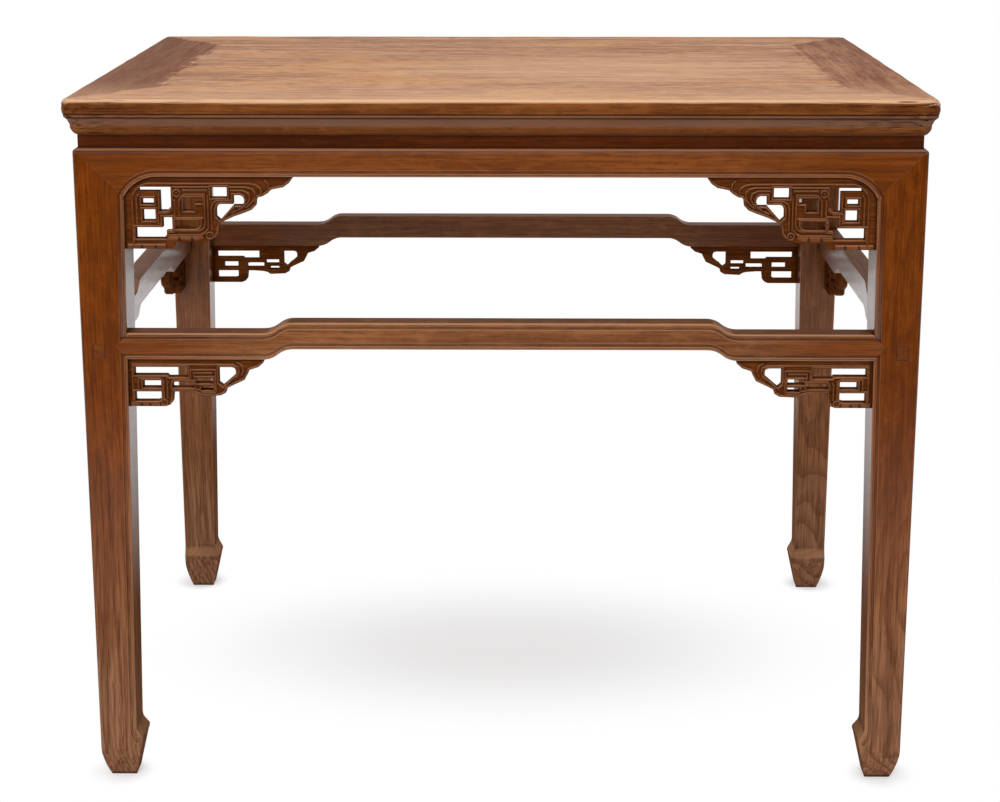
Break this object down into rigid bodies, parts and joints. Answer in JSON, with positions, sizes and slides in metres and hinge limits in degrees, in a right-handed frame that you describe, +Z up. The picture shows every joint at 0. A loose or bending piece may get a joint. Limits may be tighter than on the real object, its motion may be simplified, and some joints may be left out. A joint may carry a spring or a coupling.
{
  "type": "chinese altar table",
  "caption": "Rectangular high table with a mitred framed top, a waist, humpback stretchers, openwork fret spandrels and hoof feet.",
  "frame": {"origin": "on the floor under the middle of the table top", "axes": "+X along the long side to the right, front at -Y, +Z up"},
  "size_m": [1.026, 0.75, 0.86],
  "materials": {
    "rail_wood": "worn, waxed, dull",
    "end_wood": "worn stain, satin",
    "board_wood": "worn, waxed, dull",
    "batten_wood": "dry, unfinished",
    "waist_wood": "dark stain, satin",
    "apron_wood": "dark stain, satin",
    "leg_wood": "reddish brown stain, worn towards the feet, satin",
    "stretcher_wood": "reddish brown stain, satin",
    "spandrel_wood": "reddish brown stain, satin"
  },
  "bodies": {
    "root": {"top_rail_front": "rail_wood", "top_rail_back": "rail_wood", "top_end_left": "end_wood", "top_end_right": "end_wood", "panel_board_front": "board_wood", "panel_board_middle": "board_wood", "panel_board_back": "board_wood", "panel_batten_left": "batten_wood", "panel_batten_middle": "batten_wood", "panel_batten_right": "batten_wood", "waist_front": "waist_wood", "waist_right": "waist_wood", "waist_back": "waist_wood", "waist_left": "waist_wood", "apron_front": "apron_wood", "apron_right": "apron_wood", "apron_back": "apron_wood", "apron_left": "apron_wood", "leg_front_left": "leg_wood", "leg_front_right": "leg_wood", "leg_back_left": "leg_wood", "leg_back_right": "leg_wood", "stretcher_front": "stretcher_wood", "stretcher_right": "stretcher_wood", "stretcher_back": "stretcher_wood", "stretcher_left": "stretcher_wood", "spandrel_upper_front_left": "spandrel_wood", "spandrel_upper_front_right": "spandrel_wood", "spandrel_upper_right_front": "spandrel_wood", "spandrel_upper_right_back": "spandrel_wood", "spandrel_upper_back_right": "spandrel_wood", "spandrel_upper_back_left": "spandrel_wood", "spandrel_upper_left_back": "spandrel_wood", "spandrel_upper_left_front": "spandrel_wood", "spandrel_lower_front_left": "spandrel_wood", "spandrel_lower_front_right": "spandrel_wood", "spandrel_lower_right_front": "spandrel_wood", "spandrel_lower_right_back": "spandrel_wood", "spandrel_lower_back_right": "spandrel_wood", "spandrel_lower_back_left": "spandrel_wood", "spandrel_lower_left_back": "spandrel_wood", "spandrel_lower_left_front": "spandrel_wood"}
  },
  "joints": []
}
